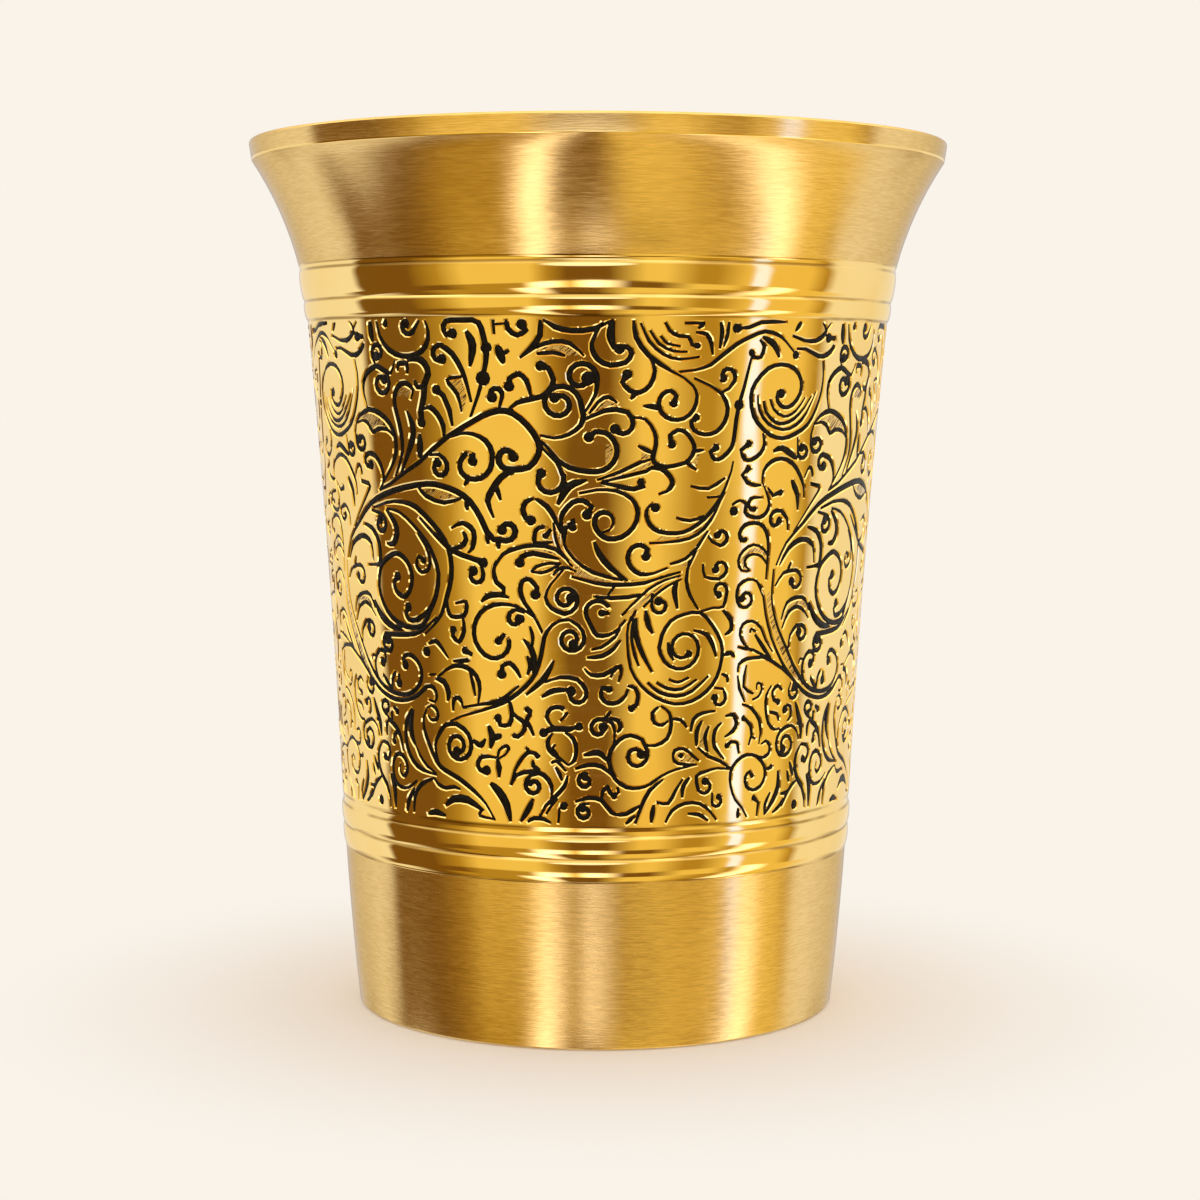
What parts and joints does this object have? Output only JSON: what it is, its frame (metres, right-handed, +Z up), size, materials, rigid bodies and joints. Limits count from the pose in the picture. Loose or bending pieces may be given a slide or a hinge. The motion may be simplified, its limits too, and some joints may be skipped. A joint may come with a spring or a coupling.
{
  "type": "drinking tumbler",
  "caption": "Tall flared drinking tumbler of turned brass, with ring beads above and below a band of black-filled vine scrolls, open at the top and standing flat on its foot.",
  "frame": {"origin": "on the axis of the turned form, at the height of the surface it stands on", "axes": "+Z up along the axis, X and Y across; the pictured side faces -Y"},
  "size_m": [0.0854, 0.0854, 0.106],
  "materials": {
    "brass": "satin turned flare and foot, polished beads and band",
    "base_brass": "satin turned",
    "spelter": "as run, a paler brazing brass",
    "black_lac": "black lac rubbed into the engraving, seen only on the dressed part"
  },
  "bodies": {
    "root": {"tumbler_wall": "brass", "base_disc": "base_brass", "braze_seam": "spelter"}
  },
  "joints": []
}
